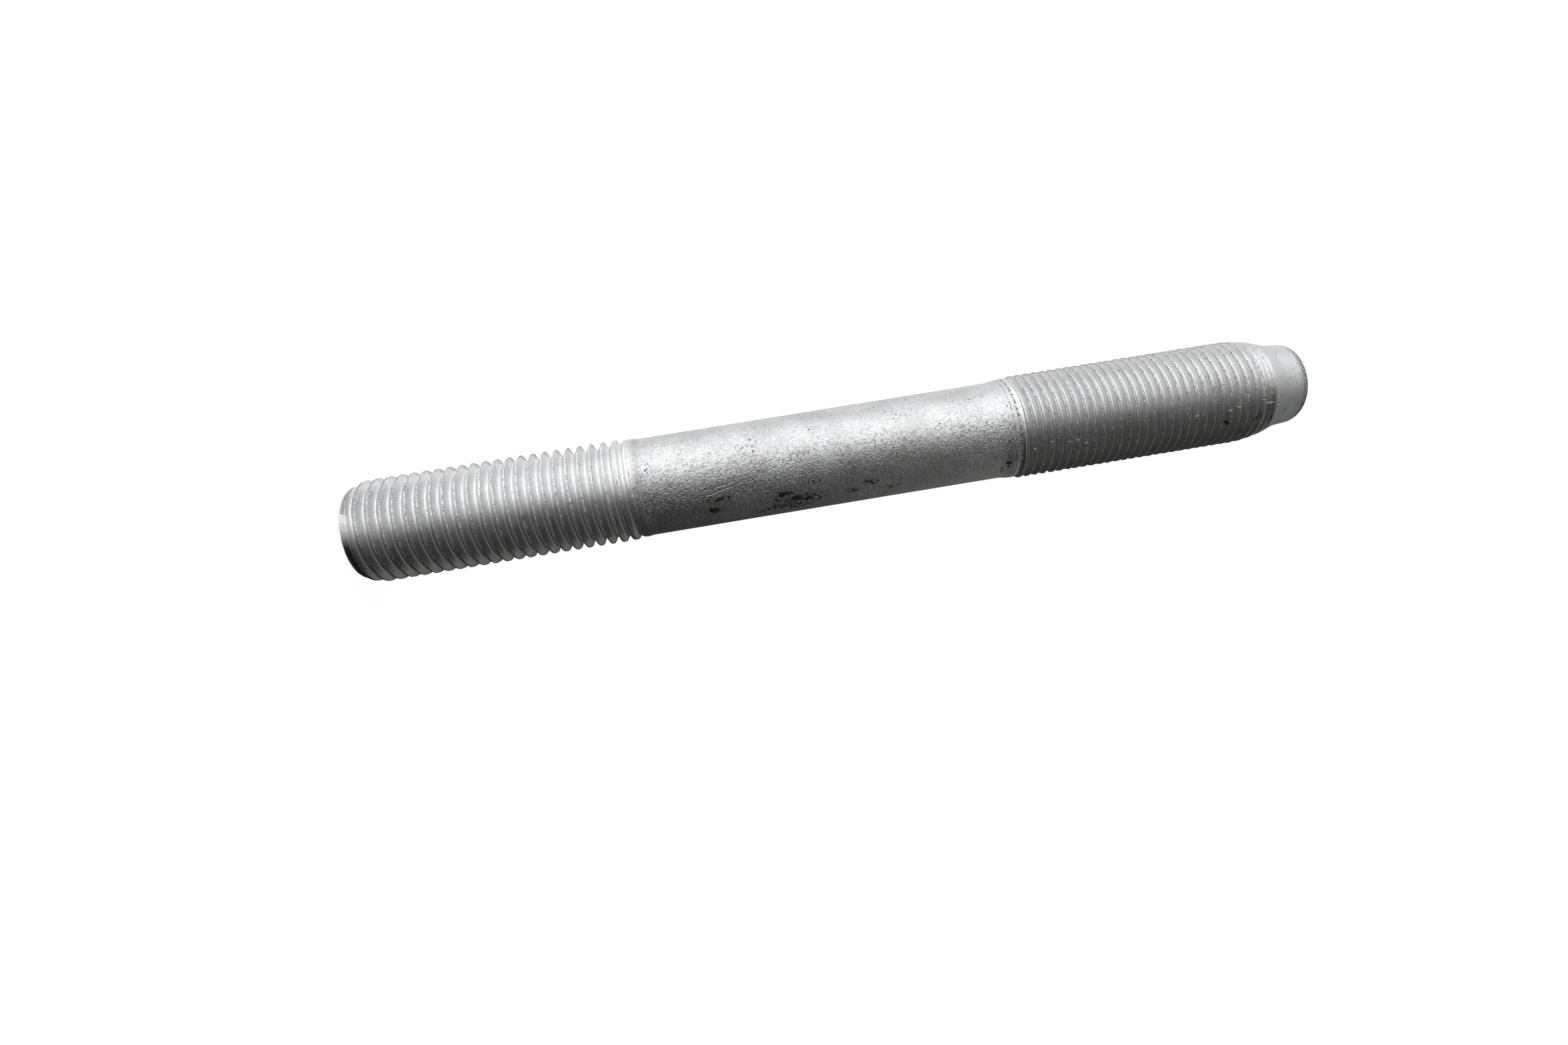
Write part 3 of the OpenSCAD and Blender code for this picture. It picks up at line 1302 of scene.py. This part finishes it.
@dataclass(frozen=True)
class Studio:
    """Pale floor, white surround, one softbox, and glowing sheets seen only in reflections that paint
    the stud's reflections: a dark half tent, a white card and a grey sheet at the foot.
    """

    floor_side: float = 6.0
    floor_tone: Colour = (0.85, 0.85, 0.85, 1.0)
    floor_glow: float = 1.06
    floor_glow_share: float = 0.9
    surround_light: float = 0.6
    softbox_width: float = 0.95
    softbox_height: float = 1.35
    softbox_distance: float = 0.75
    softbox_lift: float = 0.01
    softbox_angle: float = math.radians(-90 - 58)
    softbox_watts: float = 2.6
    foot_radius: float = 0.06
    # glow of the sheets that only reflections see: painted reflections of light and shade
    foot_lift: float = 0.6 * MM
    foot_tone: float = 0.5
    card_near: float = 0.12
    card_far: float = 0.70
    card_half_angle: float = math.radians(38)
    card_lift: float = 0.4 * MM
    card_tone: float = 1.8
    tent_radius: float = 1.4
    tent_lift: float = 0.2 * MM
    tent_start: float = math.radians(-118)
    tent_stop: float = math.radians(106)
    tent_fade: float = math.radians(46)
    tent_edge_tone: float = 1.15
    tent_foot_tone: float = 0.006
    tent_low_tone: float = 0.055
    tent_low_near: float = 0.12
    tent_low_far: float = 0.42
    tent_middle_tone: float = 0.22
    tent_middle_rise: tuple[float, float] = (math.radians(3), math.radians(28))
    tent_high_tone: float = 0.006
    tent_high_rise: tuple[float, float] = (math.radians(34), math.radians(52))
    tent_tint: Colour = (1.0, 0.985, 0.955, 1.0)
    merge_distance: float = 0.01 * MM

    def build(self) -> None:
        """Builds the surround, the floor, the softbox, and the glowing card, foot sheet and tent that
        paint reflections.
        """
        self._surround()
        self._floor()
        self._softbox()
        self._card()
        self._painted_foot_reflection()
        self._tent()

    @staticmethod
    def _seen_rays(g: Graph) -> Wire:
        """1 for the rays that see the background: camera, glossy and transmission rays."""
        path = g.put("ShaderNodeLightPath", output="Is Camera Ray")
        return path.most(path.other("Is Glossy Ray")).most(path.other("Is Transmission Ray"))

    def _surround(self) -> None:
        """Makes the world white where it is seen and plain where it lights."""
        world = bpy.data.worlds.new("white_surround")
        world.use_nodes = True
        bpy.context.scene.world = world
        g = Graph(world.node_tree)
        white = (1.0, 1.0, 1.0, 1.0)
        lit = g.put("ShaderNodeBackground", inputs={"Color": white, "Strength": self.surround_light})
        seen = g.put("ShaderNodeBackground", inputs={"Color": white, "Strength": 1.0})
        mixed = g.put("ShaderNodeMixShader", inputs={0: self._seen_rays(g), 1: lit, 2: seen})
        g.put("ShaderNodeOutputWorld", inputs={"Surface": mixed})

    def _floor(self) -> None:
        """Lays the pale floor, which keeps a soft shadow."""
        material, g = new_material("pale_floor")
        matt = g.put("ShaderNodeBsdfDiffuse", inputs={"Color": self.floor_tone})
        glow = g.put("ShaderNodeEmission", inputs={"Strength": self.floor_glow})
        share = self._seen_rays(g) * self.floor_glow_share
        mixed = g.put("ShaderNodeMixShader", inputs={0: share, 1: matt, 2: glow})
        g.put("ShaderNodeOutputMaterial", inputs={"Surface": mixed})
        sheet = bmesh.new()
        bmesh.ops.create_grid(sheet, x_segments=1, y_segments=1, size=self.floor_side / 2)
        self._stage(sheet, "floor", material)

    def _softbox(self) -> None:
        """Hangs the tall softbox beside the camera."""
        lamp = bpy.data.lights.new("softbox", "AREA")
        lamp.shape = "RECTANGLE"
        lamp.size = self.softbox_width
        lamp.size_y = self.softbox_height
        lamp.energy = self.softbox_watts
        box = put_in_scene("softbox", lamp)
        away = Vector((math.cos(self.softbox_angle), math.sin(self.softbox_angle), 0.0))
        lift = Vector((0.0, 0.0, self.softbox_height / 2 + self.softbox_lift))
        turned = away.to_track_quat("Z", "Y").to_matrix().to_4x4()
        box.matrix_world = Matrix.Translation(away * self.softbox_distance + lift) @ turned

    def _card(self) -> None:
        """Lays a glowing white card under the softbox, seen only in reflections: a painted reflection
        of a lit card.
        """
        start, span = self.softbox_angle - self.card_half_angle, 2.0 * self.card_half_angle
        reaches = (self.card_near, self.card_far)
        rows = [self._arc(reach, start, span, self.card_lift) for reach in reaches]
        self._sheet("painted_reflection_card", self._glowing("painted_reflection_card", self.card_tone), rows)

    def _painted_foot_reflection(self) -> None:
        """Lays a glowing grey sheet round the open side of the stud's foot, seen only in reflections:
        a painted reflection.
        """
        span = math.tau - (self.tent_stop - self.tent_start)
        reaches = (0.0, self.foot_radius)
        rows = [self._arc(reach, self.tent_stop, span, self.foot_lift) for reach in reaches]
        self._sheet("painted_reflection_foot_sheet", self._glowing("painted_reflection_foot_sheet", self.foot_tone), rows)

    def _tent(self) -> None:
        """Stands the dark glowing half tent on the other side, seen only in reflections: it paints
        the stud's dark reflections.
        """
        rings, spokes = 12, 30
        span = self.tent_stop - self.tent_start
        rows = [self._arc(0.0, self.tent_start, span, self.tent_lift, spokes)]
        for i in range(rings + 1):
            rise = math.pi / 2 * i / rings
            reach, height = self.tent_radius * math.cos(rise), self.tent_radius * math.sin(rise)
            rows.append(self._arc(reach, self.tent_start, span, height + self.tent_lift, spokes))
        self._sheet("painted_reflection_tent", self._painted_tent_reflection(), rows)

    def _painted_tent_reflection(self) -> bpy.types.Material:
        """Grades the tent's glow from its foot to its top, and brightens its starting edge: painted
        shade and painted light in the stud's reflections.

        Returns:
            The material.
        """
        material, g = new_material("painted_reflection_tent_glow")
        place = g.put("ShaderNodeTexCoord", output="Object")
        axes = g.put("ShaderNodeSeparateXYZ", inputs={0: place})
        x, y = axes.other("X"), axes.other("Y")
        level = hypotenuse(x, y)
        rise = g.math("ARCTAN2", axes.other("Z"), level)
        fade_stop = self.tent_start + self.tent_fade
        away = g.ease(level, self.tent_low_near, self.tent_low_far)
        tone = self.tent_foot_tone + away * (self.tent_low_tone - self.tent_foot_tone)
        tone = tone + g.ease(rise, *self.tent_middle_rise) * (self.tent_middle_tone - tone)
        tone = tone + g.ease(rise, *self.tent_high_rise) * (self.tent_high_tone - tone)
        inside = g.ease(g.math("ARCTAN2", y, x), self.tent_start, fade_stop)
        tone = self.tent_edge_tone + inside * (tone - self.tent_edge_tone)
        tent_glow = g.put("ShaderNodeEmission", inputs={"Color": self.tent_tint, "Strength": tone})
        g.put("ShaderNodeOutputMaterial", inputs={"Surface": tent_glow})
        return material

    @staticmethod
    def _glowing(name: str, tone: float) -> bpy.types.Material:
        """Makes a plain glowing material.

        Args:
            name: its name.
            tone: its brightness.

        Returns:
            The material.
        """
        material, g = new_material(name)
        glow = g.put("ShaderNodeEmission", inputs={"Strength": tone})
        g.put("ShaderNodeOutputMaterial", inputs={"Surface": glow})
        return material

    @staticmethod
    def _arc(
        reach: float, start: float, span: float, height: float, spokes: int = 12
    ) -> list[Vector]:
        """Places points along an arc round the axis.

        Args:
            reach: the arc's radius.
            start: the angle of its first point.
            span: the angle that it spans.
            height: its height.
            spokes: how many steps it has.

        Returns:
            The points.
        """
        turns = (start + span * j / spokes for j in range(spokes + 1))
        return [Vector((reach * math.cos(turn), reach * math.sin(turn), height)) for turn in turns]

    def _sheet(self, name: str, material: bpy.types.Material, rows: Sequence[list[Vector]]) -> None:
        """Makes a sheet that is seen only in reflections.

        Args:
            name: the object's name.
            material: its material.
            rows: rows of points, each joined to the next by faces.
        """
        sheet = bmesh.new()
        grid = [[sheet.verts.new(point) for point in row] for row in rows]
        for low, high in zip(grid, grid[1:]):
            for j in range(len(low) - 1):
                sheet.faces.new((low[j], low[j + 1], high[j + 1], high[j]))
        bmesh.ops.remove_doubles(sheet, verts=sheet.verts, dist=self.merge_distance)
        made = self._stage(sheet, name, material)
        for rays in ("camera", "diffuse", "shadow", "transmission", "volume_scatter"):
            setattr(made, f"visible_{rays}", False)

    @staticmethod
    def _stage(shape: bmesh.types.BMesh, name: str, material: bpy.types.Material) -> bpy.types.Object:
        """Turns a mesh into a stage object.

        Args:
            shape: the mesh, which is freed.
            name: the object's name.
            material: its material.

        Returns:
            The object.
        """
        mesh = bpy.data.meshes.new(name)
        shape.to_mesh(mesh)
        shape.free()
        mesh.materials.append(material)
        made = put_in_scene(name, mesh)
        return made


@dataclass(frozen=True)
class PortraitCamera:
    """A close camera, rolled so that the standing stud lies across the picture."""

    image_width: float = 2352.0
    focal_px: float = 1296.0
    sensor: float = 36.0
    aim_height: float = 89.1 * MM
    depth: float = 187.2 * MM
    turn: float = 0.0443
    below_axis_px: float = 85.8
    roll: float = math.radians(9.27)
    clip_start: float = 1 * MM

    def build(self) -> bpy.types.Object:
        """Makes the camera and makes it the scene's own.

        Returns:
            The camera.
        """
        across, axis, ahead = Vector((1, 0, 0)), Vector((0, 0, 1)), Vector((0, 1, 0))
        right = math.cos(self.turn) * axis - math.sin(self.turn) * ahead
        level = math.sin(self.turn) * axis + math.cos(self.turn) * ahead
        tilt = math.atan(self.below_axis_px / self.focal_px)
        forward = math.cos(tilt) * level + math.sin(tilt) * across
        down = math.cos(tilt) * across - math.sin(tilt) * level
        rolled_right = math.cos(self.roll) * right + math.sin(self.roll) * down
        rolled_down = math.cos(self.roll) * down - math.sin(self.roll) * right

        data = bpy.data.cameras.new("portrait_camera")
        data.sensor_width = self.sensor
        data.lens = self.sensor * self.focal_px / self.image_width
        data.clip_start = self.clip_start
        camera = put_in_scene("portrait_camera", data)
        turned = Matrix((rolled_right, -rolled_down, -forward)).transposed().to_4x4()
        spot = self.aim_height * axis - self.depth * level
        camera.matrix_world = Matrix.Translation(spot) @ turned
        bpy.context.scene.camera = camera
        return camera


def main() -> None:
    """Builds the camera, the studio and the stud in order."""
    logging.basicConfig(level=logging.INFO, format="%(name)s: %(message)s")
    bpy.context.scene.view_settings.view_transform = "Standard"
    camera = PortraitCamera().build()
    log.info("%s: lens %.2f mm", camera.name, camera.data.lens)
    Studio().build()
    piece = WheelStud().build()
    log.info("%s: stands for the CAD stud", piece.name)


if __name__ == "__main__":
    main()
